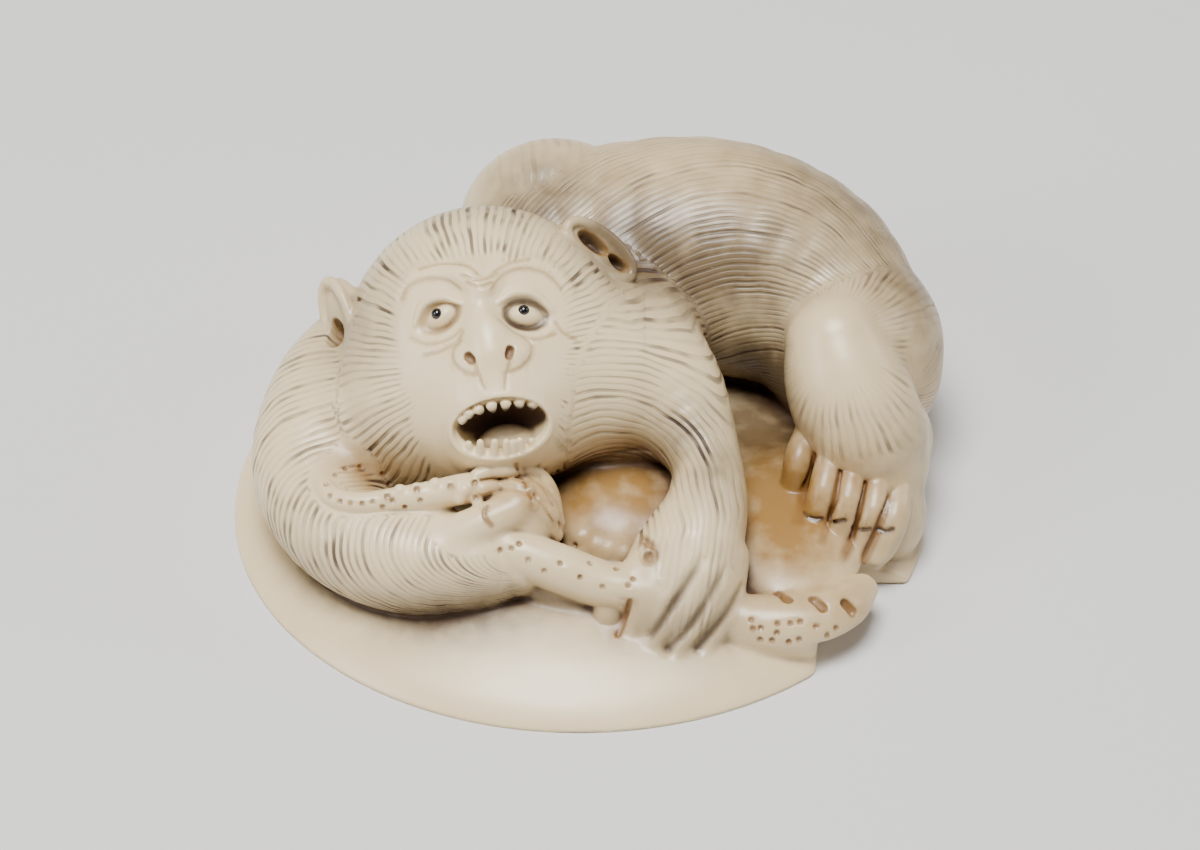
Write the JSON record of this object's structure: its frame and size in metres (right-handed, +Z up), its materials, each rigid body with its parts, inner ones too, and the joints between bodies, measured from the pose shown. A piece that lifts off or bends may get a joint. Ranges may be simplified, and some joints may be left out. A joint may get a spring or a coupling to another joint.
{
  "type": "netsuke",
  "caption": "Small ivory carving of a monkey lying curled on an oval shell-like mound, mouth open, gripping an octopus arm, with a flat underside and a cord channel.",
  "frame": {"origin": "middle of the flat underside, at the bottom centre of the box round the whole carving", "axes": "+Z up, away from the underside; -Y the front, towards which the monkey's face looks up; +X towards the monkey's drawn-up leg"},
  "size_m": [0.045, 0.041, 0.0197],
  "materials": {
    "ivory": "hand-polished ivory, amber stain in the cuts",
    "horn": "polished black horn"
  },
  "bodies": {
    "root": {"carving": "ivory", "pupil_left": "horn", "pupil_right": "horn"}
  },
  "joints": []
}
